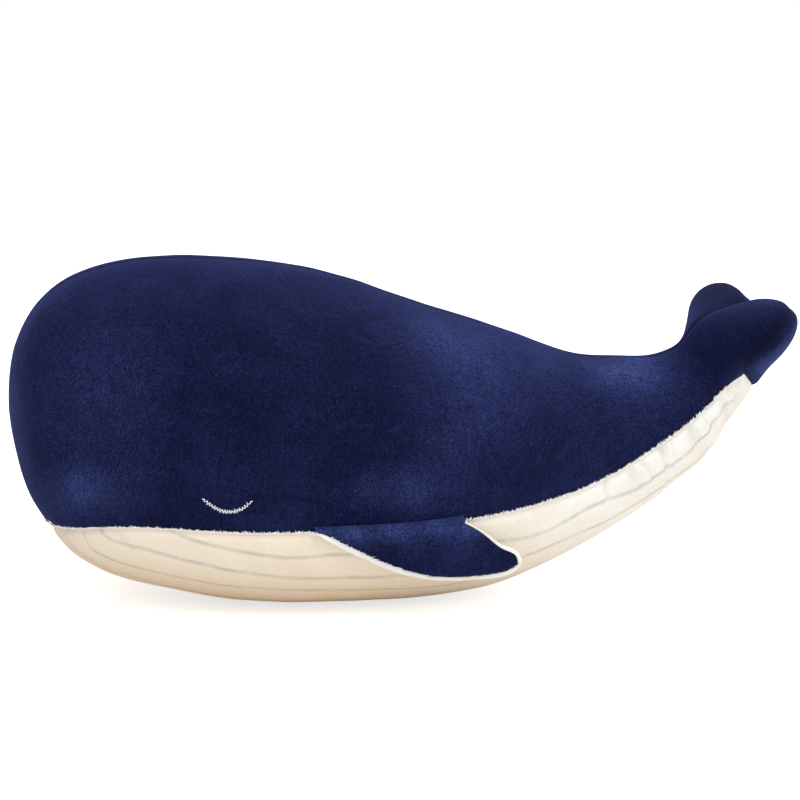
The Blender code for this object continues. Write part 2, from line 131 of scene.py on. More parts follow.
# The lines along the belly, in thousandths of the body's length and of the way from the seam to the middle
BELLY_LINES = (
    ((120, -200), (209, 17), (241, 60), (292, 97), (355, 136), (406, 120), (520, 140), (636, 167),
     (659, 194), (688, 203), (718, 193), (752, 146), (779, 163), (802, 191), (830, 242), (849, 280),
     (867, 251), (890, 280), (914, 261), (932, 289), (949, 198), (960, 192), (985, 307)),
    ((80, -250), (114, 0), (129, 97), (179, 141), (218, 180), (267, 218), (369, 270), (500, 297),
     (519, 298), (600, 310)),
    ((85, -200), (91, 0), (98, 191), (143, 292), (193, 329), (244, 353), (372, 369), (506, 424),
     (582, 455), (626, 438), (665, 345), (711, 343), (759, 353), (799, 393), (833, 416), (862, 465),
     (897, 478), (940, 520)),
    ((60, -100), (68, 66), (73, 125), (87, 357), (112, 365), (131, 495), (143, 429), (195, 498),
     (246, 531), (400, 560), (600, 600), (800, 640)),
    ((55, 300), (75, 560), (120, 660), (250, 710), (450, 740), (700, 790), (860, 800)),
    ((55, 700), (120, 860), (300, 890), (600, 910), (800, 930)),
)
# Where each line starts and ends, as shares of the length, and how wide it is
LINE_SPANS = ((0.15, 1.0), (0.09, 0.56), (0.08, 0.96), (0.06, 0.8), (0.06, 0.84), (0.06, 0.8))
LINE_WIDTHS = (1.0, 1.1, 0.9, 0.85, 0.85, 0.85)

# Where the navy is painted lighter or darker, partly brushed pile and partly painted highlights on the lit
# chin, back and tail and painted shade on the far lobe of the fluke: place, size and strength
PILE_AND_LIGHT_PATCHES = (
    (-0.2007, -0.086, 0.09, 0.015, 0.85), (-0.215, -0.07, 0.078, 0.018, 0.4),
    (-0.1918, -0.09, 0.1537, 0.045, 0.32), (-0.1742, -0.096, 0.088, 0.022, 0.28),
    (-0.005, -0.099, 0.09, 0.016, 0.5), (-0.035, -0.102, 0.095, 0.014, 0.3),
    (0.0222, -0.0534, 0.1761, 0.036, 0.65), (0.08, -0.04, 0.164, 0.034, 0.4),
    (0.0347, -0.0875, 0.129, 0.036, 0.3), (0.1312, -0.028, 0.151, 0.016, 0.75),
    (0.1539, -0.02, 0.154, 0.02, 0.95), (0.175, -0.0302, 0.14, 0.024, 0.25),
    (0.1464, -0.0473, 0.1187, 0.026, 0.15), (-0.0771, -0.1, 0.142, 0.055, -0.4),
    (-0.1463, -0.1, 0.07, 0.02, -0.3), (0.225, 0.04, 0.185, 0.04, -1.2),
)

# Gathers along the belly seam: place along, width, depth and reach from the seam
FOLDS = (
    (-0.218, 0.0022, 0.5, 0.01), (-0.185, 0.003, 0.35, 0.012), (0.09, 0.003, 0.3, 0.012),
    (0.124, 0.0026, 0.55, 0.016), (0.142, 0.0022, 0.8, 0.02), (0.15, 0.0018, 0.6, 0.018),
    (0.165, 0.0024, 1.0, 0.022), (0.173, 0.0018, 0.5, 0.014), (0.187, 0.0024, 0.9, 0.02),
    (0.196, 0.0018, 0.6, 0.015), (0.207, 0.0022, 0.8, 0.016), (0.216, 0.0016, 0.4, 0.012),
)

chance = random.Random(7)


# Curves and swelling forms


def smooth_curve(knots, values, at):
    """A natural cubic curve through the values at the knots, read at the places asked for."""
    step = np.diff(knots)
    slope = np.diff(values, axis=0) / step[:, None]
    matrix = np.eye(len(knots))
    right = np.zeros_like(values)
    for i in range(1, len(knots) - 1):
        matrix[i, i - 1 : i + 2] = step[i - 1], 2 * (step[i - 1] + step[i]), step[i]
        right[i] = 6 * (slope[i] - slope[i - 1])
    bend = np.linalg.solve(matrix, right)
    i = np.clip(np.searchsorted(knots, at) - 1, 0, len(step) - 1)
    before = (at - knots[i])[..., None]
    after = (knots[i + 1] - at)[..., None]
    width = step[i][..., None]
    cubic = (bend[i] * after**3 + bend[i + 1] * before**3) / (6 * width)
    linear = (values[i] / width - bend[i] * width / 6) * after
    return cubic + linear + (values[i + 1] / width - bend[i + 1] * width / 6) * before


def smoothstep(value, low, high):
    share = np.clip((value - low) / (high - low), 0, 1)
    return share * share * (3 - 2 * share)


def bell(value, width):
    """1 where the value is zero, falling to nearly 0 at twice the width."""
    return np.exp(-((value / width) ** 2))


def unit(vectors, least=1e-12):
    return vectors / np.maximum(np.linalg.norm(vectors, axis=-1, keepdims=True), least)


def read_rows(at, way, rows):
    """The rows given along the way, read at the places asked for."""
    return np.stack([np.interp(at, way, column) for column in rows.T], 1)


class Swelling:
    """A stuffed form drawn through pairs of outline points, with a rounded section across each pair."""

    def __init__(self, shares, start, size, roundness=(2.0, 2.0)):
        shares, size = np.array(shares) / 1000, np.array(size)
        outline = start + size[:2] * shares[:, :4].reshape(-1, 2, 2)
        way = np.concatenate([[0], np.cumsum(sum(np.linalg.norm(np.diff(outline, axis=0), axis=2).T) / 2)])
        way /= way[-1]
        half = shares[:, 4] * size[2] / 2
        self.knots = np.concatenate([-way[:0:-1], way])
        ends = np.concatenate([outline[:0:-1, 1], outline[:, 0]])
        self.values = np.column_stack([ends, np.concatenate([-half[:0:-1], half])])
        self.roundness = roundness

    def point(self, row, turn):
        row, turn = np.broadcast_arrays(row, turn)
        front = smooth_curve(self.knots, self.values, row)
        back = smooth_curve(self.knots, self.values, -row)
        cosine, sine = np.cos(math.pi * turn), np.sin(math.pi * turn)
        first, last = self.roundness
        power = first + (last - first) * (1 - cosine) / 2
        reach = (np.abs(cosine) ** power + np.abs(sine) ** power) ** (-1 / power)
        centre = (front[..., :2] + back[..., :2]) / 2
        arm = (front[..., :2] - back[..., :2]) / 2
        plane = centre + arm * (reach * cosine)[..., None]
        return np.stack([plane[..., 0], plane[..., 1], -front[..., 2] * reach * sine], axis=-1)


BODY = Swelling(BODY_SHARES, (NOSE_X, -FLAT_DEPTH), (BODY_LENGTH, HEIGHT + FLAT_DEPTH, WIDTH), BODY_POWERS)
LOBE = Swelling(FLUKE_SHARES, (0, 0), (FLUKE_LENGTH, FLUKE_SPAN / 2, FLUKE_THICKNESS))
FIN = Swelling(FIN_SHARES, (0, 0), (FIN_ROOT_LENGTH, FIN_DEPTH, FIN_THICKNESS))
SEAM_LINE = np.array(SEAM_SHARES) / 1000 * (BODY_LENGTH, HEIGHT) + (NOSE_X, 0)


def body_point(row, turn):
    """A point on the body: turn runs from the back (0) down the left side (0.5) to the belly (1)."""
    return BODY.point(row, turn)[..., [0, 2, 1]]


def body_frame(row, turn):
    """Slopes along and round the body for a unit of row and turn, and the outward direction."""
    small = 0.0003
    row = np.maximum(np.asarray(row, float), small)
    along = (body_point(row + small, turn) - body_point(row - small, turn)) / (2 * small)
    around = (body_point(row, turn + small) - body_point(row, turn - small)) / (2 * small)
    return along, around, unit(np.cross(around, along))


def seam_height(along):
    return smooth_curve(SEAM_LINE[:, 0], SEAM_LINE[:, 1:], np.asarray(along, float))[..., 0]


def seam_turns(rows):
    """For each row, how far round the belly seam runs: 1 ahead of the chin."""
    low, high = np.full(len(rows), 0.3), np.full(len(rows), 1.0)
    for _ in range(30):
        middle = (low + high) / 2
        point = body_point(rows, middle)
        above = point[:, 2] > seam_height(point[:, 0]) - SEAM_DROP
        low, high = np.where(above, middle, low), np.where(above, high, middle)
    return (low + high) / 2


def tail_local(points):
    """Along the fluke, across it and through it, from the tail joint."""
    away = points - JOINT
    return away @ TAIL_ALONG, away[..., 1], away @ TAIL_LIFT


def tail_place(local):
    """Where points given along the fluke, across it and through it are."""
    return JOINT + local[..., :1] * TAIL_ALONG + local[..., 1:2] * (0, 1, 0) + local[..., 2:] * TAIL_LIFT


def fluke_rise(across):
    return FLUKE_RISE * (2 * across / FLUKE_SPAN) ** 2 + FLUKE_LIFT


def seam_value(points):
    """Distance above the seam between the upper and the lower cloth, on the body and on the fluke."""
    x = points[..., 0]
    slope = (seam_height(x + 0.0005) - seam_height(x - 0.0005)) / 0.001
    body = (points[..., 2] - seam_height(x) + SEAM_DROP) / np.sqrt(1 + slope**2)
    along, across, lift = tail_local(points)
    fluke = lift - fluke_rise(across)
    share = smoothstep(along, 0.008, 0.038)
    side = smoothstep(np.abs(across), 0.03, 0.054) * smoothstep(along, 0.0, 0.016)
    share = np.maximum(share, side)
    return body * (1 - share) + fluke * share


def cross_value(points):
    """Distance behind the straight seam that ends the belly cloth under the tail."""
    along, across, _ = tail_local(points)
    return along - CROSS_SEAM + 0.05 * np.maximum(np.abs(across) - 0.023, 0)


# Mesh tools


def link(obj):
    bpy.context.scene.collection.objects.link(obj)
    return obj


def mesh_object(name, points, faces, material=None):
    mesh = bpy.data.meshes.new(name)
    mesh.from_pydata(np.asarray(points).tolist(), [], faces)
    mesh.validate()
    mesh.shade_smooth()
    if material:
        mesh.materials.append(material)
    return link(bpy.data.objects.new(name, mesh))


def grid(rows, columns, closed=False):
    """Quads of a grid of points, in rows, closed round its columns if asked for."""
    i, j = np.meshgrid(np.arange(rows - 1), np.arange(columns if closed else columns - 1), indexing="ij")
    k = (j + 1) % columns
    corners = (i * columns + j, i * columns + k, (i + 1) * columns + k, (i + 1) * columns + j)
    return np.stack(corners, -1).reshape(-1, 4)


def closed_tube(rings, sides, start):
    """Faces of a tube of rings, with a fan at each end round the two points that follow the rings."""
    tip, last = start + rings * sides, start + (rings - 1) * sides
    faces = (grid(rings, sides, closed=True) + start).tolist()
    for j in range(sides):
        after = (j + 1) % sides
        faces += [[tip, start + after, start + j], [tip + 1, last + j, last + after]]
    return faces


def round_points(centre, flat, high, radius, sides):
    """Points round each centre, in the plane of two unit directions."""
    angles = 2 * math.pi / sides * np.arange(sides)
    return [centre + (flat * math.cos(angle) + high * math.sin(angle)) * radius for angle in angles]


def evaluated(obj):
    """Points and triangles of an object with its modifiers, after which the object is gone."""
    mesh = bpy.data.meshes.new_from_object(obj.evaluated_get(bpy.context.evaluated_depsgraph_get()))
    mesh.calc_loop_triangles()
    points = np.array([vertex.co for vertex in mesh.vertices], float)
    tris = np.array([triangle.vertices for triangle in mesh.loop_triangles])
    bpy.data.meshes.remove(mesh)
    bpy.data.objects.remove(obj)
    return points, tris


def sides_of(tris):
    """Both ends of each side of each triangle, in its own direction."""
    return np.concatenate([tris[:, [0, 1]], tris[:, [1, 2]], tris[:, [2, 0]]]).astype(np.int64)


def edges_of(tris):
    pairs = np.sort(sides_of(tris), axis=1)
    size = int(pairs.max()) + 1
    keys = np.unique(pairs[:, 0] * size + pairs[:, 1])
    return np.stack([keys // size, keys % size], axis=1)


def smoothed(points, tris, steps, strength, keep_size=True):
    """Moves each point towards its neighbours; the strength is for each point."""
    pairs = edges_of(tris)
    count = np.bincount(pairs.ravel(), minlength=len(points))[:, None]
    for step in range(steps):
        total = np.zeros_like(points)
        for axis in range(3):
            total[:, axis] = np.bincount(pairs[:, 0], points[pairs[:, 1], axis], len(points))
            total[:, axis] += np.bincount(pairs[:, 1], points[pairs[:, 0], axis], len(points))
        factor = -1.04 if keep_size and step % 2 else 1.0
        points = points + factor * strength * (total / np.maximum(count, 1) - points)
    return points


def normals_of(points, tris):
    a, b, c = points[tris[:, 0]], points[tris[:, 1]], points[tris[:, 2]]
    face = np.cross(b - a, c - a)
    total = np.zeros_like(points)
    for axis in range(3):
        for corner in range(3):
            total[:, axis] += np.bincount(tris[:, corner], face[:, axis], len(points))
    return unit(total)


def edge_finder(pairs, chosen, size):
    """Finds the new point on an edge from its ends, or -1 for an edge that isn't chosen."""
    keys = pairs[:, 0] * size + pairs[:, 1]
    middle = np.full(len(pairs), -1)
    middle[chosen] = size + np.arange(chosen.sum())
    return lambda a, b: middle[np.searchsorted(keys, np.minimum(a, b) * size + np.maximum(a, b))]


def corners_at(where, *corners):
    return np.stack(corners, 1)[where]


def split_edges(data, tris, marked):
    """Halves the marked edges, and splits the triangles round them to match."""
    pairs = edges_of(tris)
    chosen = marked[pairs[:, 0]] & marked[pairs[:, 1]]
    find = edge_finder(pairs, chosen, len(data))
    data = np.concatenate([data, (data[pairs[chosen, 0]] + data[pairs[chosen, 1]]) / 2])
    a, b, c = tris.T.astype(np.int64)
    ab, bc, ca = find(a, b), find(b, c), find(c, a)
    count = sum(middle >= 0 for middle in (ab, bc, ca))
    result = [tris[count == 0]]
    for _ in range(3):
        one = (count == 1) & (ab >= 0)
        result += [corners_at(one, a, ab, c), corners_at(one, ab, b, c)]
        two = (count == 2) & (ca < 0)
        result += [corners_at(two, ab, b, bc), corners_at(two, a, ab, bc), corners_at(two, a, bc, c)]
        a, b, c, ab, bc, ca = b, c, a, bc, ca, ab
    every = count == 3
    result += [corners_at(every, *part) for part in ((a, ab, ca), (ab, b, bc), (ca, bc, c), (ab, bc, ca))]
    return data, np.concatenate(result)


def clip(data, tris, value):
    """Keeps the part of a mesh where the value is above zero, with its edge on the line where it is zero."""
    data, value = data.copy(), value.copy()
    pairs = edges_of(tris)
    low, high = value[pairs[:, 0]], value[pairs[:, 1]]
    crossing = low * high < 0
    i, j = pairs[crossing].T
    share = low[crossing] / (low[crossing] - high[crossing])
    fixed = np.zeros(len(data), bool)
    # Points close to the line move onto it, so that no slivers are left
    for near, far, part in ((i, j, share), (j, i, 1 - share)):
        close = (part < 0.22) & ~fixed[near]
        data[near[close]] += (data[far[close]] - data[near[close]]) * part[close][:, None]
        fixed[near[close]] = True
    value[fixed] = 0
    crossing = value[pairs[:, 0]] * value[pairs[:, 1]] < 0
    find = edge_finder(pairs, crossing, len(data))
    i, j = pairs[crossing].T
    share = (value[i] / (value[i] - value[j]))[:, None]
    data = np.concatenate([data, data[i] + (data[j] - data[i]) * share])

    a, b, c = tris.T.astype(np.int64)
    sign = np.sign(value)
    below, above = (sign[tris] < 0).sum(axis=1), (sign[tris] > 0).sum(axis=1)
    result = [tris[(below == 0) & (above > 0)]]
    for _ in range(3):
        ab, ca = find(a, b), find(c, a)
        one = (below == 1) & (above == 2) & (sign[a] < 0)
        result += [corners_at(one, ab, b, c), corners_at(one, ab, c, ca)]
        two = (below == 2) & (above == 1) & (sign[a] > 0)
        result.append(corners_at(two, a, ab, ca))
        edge = (below == 1) & (above == 1) & (sign[a] > 0)
        result.append(corners_at(edge & (sign[b] < 0), a, ab, c))
        result.append(corners_at(edge & (sign[c] < 0), a, b, ca))
        a, b, c = b, c, a
    tris = np.concatenate(result)
    used, inverse = np.unique(tris, return_inverse=True)
    return data[used], inverse.reshape(-1, 3)


def lumps(points, size, height, seed):
    """A soft unevenness of the stuffing."""
    offset = Vector((seed * 7.3, seed * 3.1, seed * 5.7))
    return height * np.array([noise.noise(Vector(point) / size + offset) for point in points])


# The whole form of body and fluke


def fluke_lobes():
    """Rings of points from the left lobe's tip to the right one's, from the tail joint."""
    rows = 1 - np.cos(np.linspace(0, math.pi / 2, LOBE_RINGS + 1))[1:]
    turns = np.linspace(0, 2, LOBE_SIDES, endpoint=False)
    local = LOBE.point(rows[:, None], turns[None, :])
    local[..., 2] += fluke_rise(local[..., 1])
    local = np.concatenate([local * (1, -1, 1), local[-2::-1]])
    # The right lobe is stuffed a little less full than the left one
    far = smoothstep(local[..., 1], 0.004, 0.03) * smoothstep(local[..., 0], 0.005, 0.03)
    local[..., 0] *= 1 - 0.06 * far
    return local


def whole_form():
    """One closed mesh over the body and both lobes of the fluke, with soft folds where they meet."""
    rows = np.linspace(0, 1, BODY_RINGS + 1)[1:]
    turns = np.linspace(0, 2, BODY_SIDES, endpoint=False)
    tube = body_point(rows[:, None], turns[None, :])
    nose = body_point(np.array([0.0]), np.array([0.0]))
    lobes = fluke_lobes()
    polar = np.linspace(0, math.pi, ROOT_RINGS + 2)[1:-1, None]
    angle = np.linspace(0, 2 * math.pi, ROOT_SIDES, endpoint=False)[None, :]
    ball = [np.sin(polar) * np.cos(angle), np.sin(polar) * np.sin(angle), np.cos(polar) + 0 * angle]
    points, faces = [], []
    for rings, tips in (
        (tube, np.concatenate([nose, tube[-1].mean(axis=0, keepdims=True)])),
        (tail_place(lobes), tail_place(lobes[[0, -1]].mean(axis=1))),
        (JOINT + ROOT_RADIUS * np.stack(ball, -1), JOINT + ROOT_RADIUS * np.array([[0, 0, 1], [0, 0, -1]])),
    ):
        faces.append(closed_tube(*rings.shape[:2], sum(map(len, points))))
        points += [rings.reshape(-1, 3), tips]
    # The ball's rings run the other way round
    faces[2] = [face[::-1] for face in faces[2]]
    obj = mesh_object("whole", np.concatenate(points), sum(faces, []))
    remesh = obj.modifiers.new("remesh", "REMESH")
    remesh.mode = "VOXEL"
    remesh.voxel_size = VOXEL
    points, tris = evaluated(obj)
    points = smoothed(points, tris, 4, 0.5)
    along, across, _ = tail_local(points)
    near = smoothstep(along, -0.03, -0.01) * (1 - smoothstep(along, 0.02, 0.042))
    near = near * (1 - smoothstep(np.abs(across), 0.036, 0.056))
    notch = smoothstep(along, 0.01, 0.02) * (1 - smoothstep(np.abs(across), 0.016, 0.03))
    near = np.maximum(near, 0.7 * notch)[:, None]
    points = smoothed(points, tris, 30, 0.5 * near, keep_size=False)
    along, across, lift = tail_local(points)
    under = smoothstep(-lift, 0.006, 0.024) * (1 - smoothstep(np.abs(across), 0.02, 0.04))
    push = 0.0042 * bell(along - 0.006, 0.011) - 0.0034 * bell(along + 0.026, 0.016)
    points = points + normals_of(points, tris) * (push * under)[:, None]
    points[:, 2] = np.maximum(points[:, 2], 0)
    return points, tris


def inverse_map(points):
    """Row and turn on the body for points near its surface."""
    rows = np.linspace(0.0, 1.0, 261)[1:]
    turns = np.linspace(0, 2, 240, endpoint=False)
    row_grid, turn_grid = (part.ravel() for part in np.meshgrid(rows, turns, indexing="ij"))
    samples = body_point(row_grid, turn_grid)
    tree = kdtree.KDTree(len(samples))
    for i, sample in enumerate(samples):
        tree.insert(sample, i)
    tree.balance()
    found = np.array([tree.find(point)[1] for point in points])
    row, turn = row_grid[found], turn_grid[found]
    for _ in range(3):
        along, around, _ = body_frame(row, turn)
        away = points - body_point(row, turn)
        aa, bb = (along * along).sum(1), (around * around).sum(1)
        ab = (along * around).sum(1)
        pa, pb = (away * along).sum(1), (away * around).sum(1)
        det = np.maximum(aa * bb - ab * ab, 1e-12)
        row = np.clip(row + np.clip((pa * bb - pb * ab) / det, -0.02, 0.02), 0.0005, 1.0)
        turn = turn + np.clip((pb * aa - pa * ab) / det, -0.02, 0.02)
    return row, turn


# Materials


class Nodes:
    """The nodes of a material or of the world, with a few helpers."""

    def __init__(self, owner):
        owner.use_nodes = True
        self.owner = owner
        self.tree = owner.node_tree

    def plug(self, socket, value):
        """Links a socket to an output, or sets its value; a colour is given as three numbers."""
        if isinstance(value, bpy.types.NodeSocket):
            self.tree.links.new(value, socket)
        else:
            socket.default_value = (*value, 1.0) if socket.type == "RGBA" else value

    def shade(self, **values):
        """Sets the shader's sockets, named with _ for a space, and gives back the material."""
        for name, value in values.items():
            self.plug(self.tree.nodes["Principled BSDF"].inputs[name.replace("_", " ")], value)
        return self.owner

    def node(self, kind, inputs=(), **settings):
        node = self.tree.nodes.new("ShaderNode" + kind)
        for name, value in settings.items():
            setattr(node, name, value)
        for name, value in dict(inputs).items():
            self.plug(node.inputs[name], value)
        return node

    def attribute(self, name, output="Vector"):
        return self.node("Attribute", attribute_name=name).outputs[output]

    def parts(self, name):
        """The three numbers of a vector attribute."""
        return self.node("SeparateXYZ", {"Vector": self.attribute(name)}).outputs

    def math(self, operation, *values, clamp=False):
        return self.node("Math", enumerate(values), operation=operation, use_clamp=clamp).outputs[0]

    def times(self, a, b, clamp=False):
        return self.math("MULTIPLY", a, b, clamp=clamp)

    def span(self, value, low, high, to_low=0.0, to_high=1.0, smooth=True):
        ends = {"Value": value, "From Min": low, "From Max": high, "To Min": to_low, "To Max": to_high}
        return self.node("MapRange", ends, interpolation_type="SMOOTHSTEP" if smooth else "LINEAR").outputs[0]

    def noise(self, scale, detail=2.0, roughness=0.5, distortion=0.0):
        """Noise that stays with the cloth; a scale of three numbers stretches it."""
        vector = self.attribute("rest")
        if isinstance(scale, tuple):
            vector, scale = self.node("Mapping", {"Vector": vector, "Scale": scale}).outputs[0], 1
        inputs = dict(Vector=vector, Scale=scale, Detail=detail, Roughness=roughness, Distortion=distortion)
        return self.node("TexNoise", inputs).outputs["Fac"]

    def mix(self, factor, a, b):
        return self.node("Mix", {"Factor": factor, 6: a, 7: b}, data_type="RGBA").outputs[2]

    def tinted(self, base, colour, value, *span):
        """The base with the colour over it, as strong as the span of the value says."""
        return self.mix(self.span(value, *span), base, colour)

    def bump(self, height, distance, strength, normal=None):
        node = self.node("Bump", {"Height": height, "Distance": distance, "Strength": strength})
        if normal is not None:
            self.plug(node.inputs["Normal"], normal)
        return node.outputs[0]


def navy_velvet():
    cloth = Nodes(bpy.data.materials.new("navy_velvet"))
    seam, glow = cloth.attribute("seam", "Fac"), cloth.attribute("glow", "Fac")
    grain = cloth.noise(900, 3, 0.65)
    pile = cloth.noise((420, 420, 150), 3, 0.6)
    brushed = cloth.noise(16, 4, 0.6, 0.5)
    strokes = cloth.noise((26, 40, 70), 4, 0.65, 1.2)
    base = cloth.tinted((0.004, 0.0057, 0.029), (0.0068, 0.0094, 0.043), brushed, 0.4, 0.68)
    base = cloth.tinted(base, (0.0105, 0.013, 0.046), strokes, 0.52, 0.76, 0.0, 0.55)
    base = cloth.tinted(base, (0.0026, 0.0036, 0.019), strokes, 0.44, 0.28, 0.0, 0.6)
    ragged = cloth.span(cloth.noise(55, 4, 0.65, 0.8), 0.25, 0.75, 0.7, 1.2)
    # Painted highlights where the value is above zero and painted shade where it is below, together with the
    # brushed pile's lighter and darker patches
    base = cloth.mix(cloth.times(glow, ragged, clamp=True), base, (0.03, 0.043, 0.145))
    down = cloth.times(glow, -0.9, clamp=True)
    base = cloth.mix(cloth.times(down, ragged, clamp=True), base, (0.0012, 0.0018, 0.009))
    grain_and_glints = cloth.span(grain, 0.3, 0.72, 0.22, 2.1, smooth=False)
    grain_and_glints = cloth.times(grain_and_glints, cloth.span(pile, 0.3, 0.72, 0.8, 1.22, smooth=False))
    # Painted glints: short bright flecks of light off the pile, shown in patches
    painted_glints = cloth.noise((760, 900, 330), 2, 0.6, 1.8)
    glint_patches = cloth.span(cloth.noise(38, 3, 0.6), 0.38, 0.66, 0.15, 1.0)
    painted_glints = cloth.times(cloth.span(painted_glints, 0.56, 0.72), glint_patches)
    grain_and_glints = cloth.math("MULTIPLY_ADD", painted_glints, 2.2, grain_and_glints)
    base = cloth.node("VectorMath", {0: base, "Scale": grain_and_glints}, operation="SCALE").outputs[0]
    lint = cloth.noise(430, 1, 0.5)
    base = cloth.tinted(base, (0.075, 0.09, 0.21), lint, 0.78, 0.82, 0.0, 0.55)
    # Painted shade in the seams' grooves
    base = cloth.mix(seam, base, (0.003, 0.004, 0.016))
    normal = cloth.bump(cloth.math("MULTIPLY_ADD", pile, 0.7, grain), 0.0007, 0.55)
    normal = cloth.bump(cloth.noise(130, 3, 0.55), 0.001, 0.45, normal)
    return cloth.shade(Base_Color=base, Roughness=0.8, Sheen_Weight=0.18, Sheen_Roughness=0.38,
                       Sheen_Tint=(0.17, 0.26, 1.0), Specular_IOR_Level=0.05, Normal=normal)


def cream_velvet():
    cloth = Nodes(bpy.data.materials.new("cream_velvet"))
    seam = cloth.attribute("seam", "Fac")
    along, around, fold_depth = cloth.parts("place")
    grain = cloth.noise(800, 3, 0.65)
    clumps = cloth.noise(240, 3, 0.6)
    soft = cloth.noise(22, 4, 0.6, 0.6)
    # Cream above, peach-tan towards the lower belly and whiter towards the tail; the peach is partly the
    # cloth's tone and partly painted warm shade
    back = cloth.span(along, 0.45, 0.86)
    upper = cloth.mix(back, (0.9, 0.8, 0.65), (0.925, 0.91, 0.855))
    lower = cloth.mix(back, (0.815, 0.6, 0.375), (0.89, 0.82, 0.72))
    base = cloth.tinted(upper, lower, around, 0.1, 0.62)
    base = cloth.tinted(base, (0.86, 0.64, 0.46), along, 0.12, 0.03, 0.0, 0.55)
    base = cloth.tinted(base, (0.8, 0.66, 0.5), soft, 0.42, 0.7, 0.0, 0.28)
    wander = cloth.span(cloth.noise(420, 2, 0.6), 0.2, 0.8, -0.00045, 0.00045, smooth=False)
    distances = [*cloth.parts("lines_a"), *cloth.parts("lines_b")]
    shown = [*cloth.parts("shown_a"), *cloth.parts("shown_b")]
    lines = 0.0
    for distance, shows, width in zip(distances, shown, LINE_WIDTHS):
        away = cloth.math("ABSOLUTE", cloth.math("ADD", distance, wander))
        line = cloth.times(cloth.span(away, 0.0004 * width, 0.0024 * width, 1.0, 0.0), shows)
        lines = cloth.math("MAXIMUM", lines, line)
    lines = cloth.times(lines, cloth.span(cloth.noise(60, 3, 0.6), 0.3, 0.62, 0.4, 1.0))
    tint = cloth.mix(around, (0.46, 0.46, 0.43), (0.46, 0.35, 0.25))
    base = cloth.mix(cloth.times(lines, 0.58), base, tint)
    # Painted grey-green shade in the gathers' folds
    fold_shade = cloth.times(fold_depth, cloth.span(cloth.noise(90, 3, 0.6), 0.25, 0.6))
    base = cloth.mix(cloth.times(fold_shade, 0.55), base, (0.56, 0.58, 0.56))
    base = cloth.tinted(base, (0.62, 0.52, 0.4), grain, 0.3, 0.7, 0.16, 0.0)
    # Painted shade, paler, in the seams' grooves
    base = cloth.mix(cloth.times(seam, 0.5), base, (0.86, 0.79, 0.68))
    height = cloth.math("MULTIPLY_ADD", clumps, 0.9, grain)
    normal = cloth.bump(cloth.math("MULTIPLY_ADD", lines, -0.8, height), 0.0007, 0.5)
    normal = cloth.bump(cloth.noise(110, 3, 0.55), 0.001, 0.4, normal)
    return cloth.shade(Base_Color=base, Roughness=0.85, Sheen_Weight=0.18, Sheen_Roughness=0.5,
                       Sheen_Tint=(1.0, 0.97, 0.92), Specular_IOR_Level=0.12, Normal=normal)


def strands(name, tone_scale, dark, light, grain_scale, depth, strength, **looks):
    """A plain material for tufts of pile or for thread."""
    cloth = Nodes(bpy.data.materials.new(name))
    base = cloth.tinted(dark, light, cloth.noise(tone_scale), 0.3, 0.7)
    normal = cloth.bump(cloth.noise(grain_scale), depth, strength)
    return cloth.shade(Base_Color=base, Normal=normal, **looks)


NAVY_VELVET = navy_velvet()
CREAM_VELVET = cream_velvet()
CREAM_PILE = strands("cream_pile", 500, (0.94, 0.92, 0.88), (1.0, 0.99, 0.97), 1500, 0.0002, 0.4,
                     Roughness=0.7, Sheen_Weight=0.3, Specular_IOR_Level=0.15)
LILAC_THREAD = strands("lilac_thread", 700, (0.8, 0.8, 0.88), (0.98, 0.98, 1.0), 3000, 0.0001, 0.5,
                       Roughness=0.42, Sheen_Weight=0.2, Specular_IOR_Level=0.5)


def put_attribute(mesh, name, values):
    values = np.asarray(values, np.float32)
    kind, field = ("FLOAT", "value") if values.ndim == 1 else ("FLOAT_VECTOR", "vector")
    mesh.attributes.new(name, kind, "POINT").data.foreach_set(field, values.ravel())


def cloth_piece(name, place, out, tris, material, depth, attributes):
    """A closed shell: the outer cloth, the same cloth the depth further in and the edges between them."""
    size = len(place)
    ends = sides_of(tris)
    rim = ends[~np.isin(ends @ (size, 1), ends @ (1, size))]
    quads = np.stack([rim[:, 1], rim[:, 0], rim[:, 0] + size, rim[:, 1] + size], 1)
    faces = [*tris.tolist(), *(tris[:, ::-1] + size).tolist(), *quads.tolist()]
    obj = mesh_object(name, np.concatenate([place, place - depth * out]), faces, material)
    for key, values in attributes.items():
        put_attribute(obj.data, key, np.concatenate([values, values]))
    return obj


# Body panels


def belly_places(points):
    """Share along, share round from seam to middle, signed distances to the lines and where each shows."""
    row, turn = inverse_map(points)
    fold = np.where(turn > 1, 2 - turn, turn)
    rows = np.linspace(0.001, 1, 400)
    seam = np.interp(row, rows, seam_turns(rows))
    around = (fold - seam) / np.maximum(1 - seam, 0.02)
    lengths = np.linalg.norm(body_frame(row, fold)[1], axis=-1) * np.maximum(1 - seam, 0.02)
    share = (points[:, 0] - NOSE_X) / BODY_LENGTH
    distances, shown = [], []
    # The lines of the right side wander a little otherwise than those of the left side
    far = points[:, 1] > 0
    for i, (line, (low, high)) in enumerate(zip(BELLY_LINES, LINE_SPANS)):
        knots, values = np.array(line).T / 1000
        at = np.where(far, share + 0.012 * math.sin(3 * i + 1), share)
        level = sum(np.interp(at + step, knots, values) for step in np.linspace(-0.014, 0.014, 7)) / 7
        level = level + np.where(far, 0.018 * math.sin(5 * i + 2), 0)
        distances.append((around - level) * lengths)
        shown.append(smoothstep(share, low, low + 0.03) * (1 - smoothstep(share, high - 0.04, high)))
    return share, around, np.stack(distances, 1), np.stack(shown, 1)


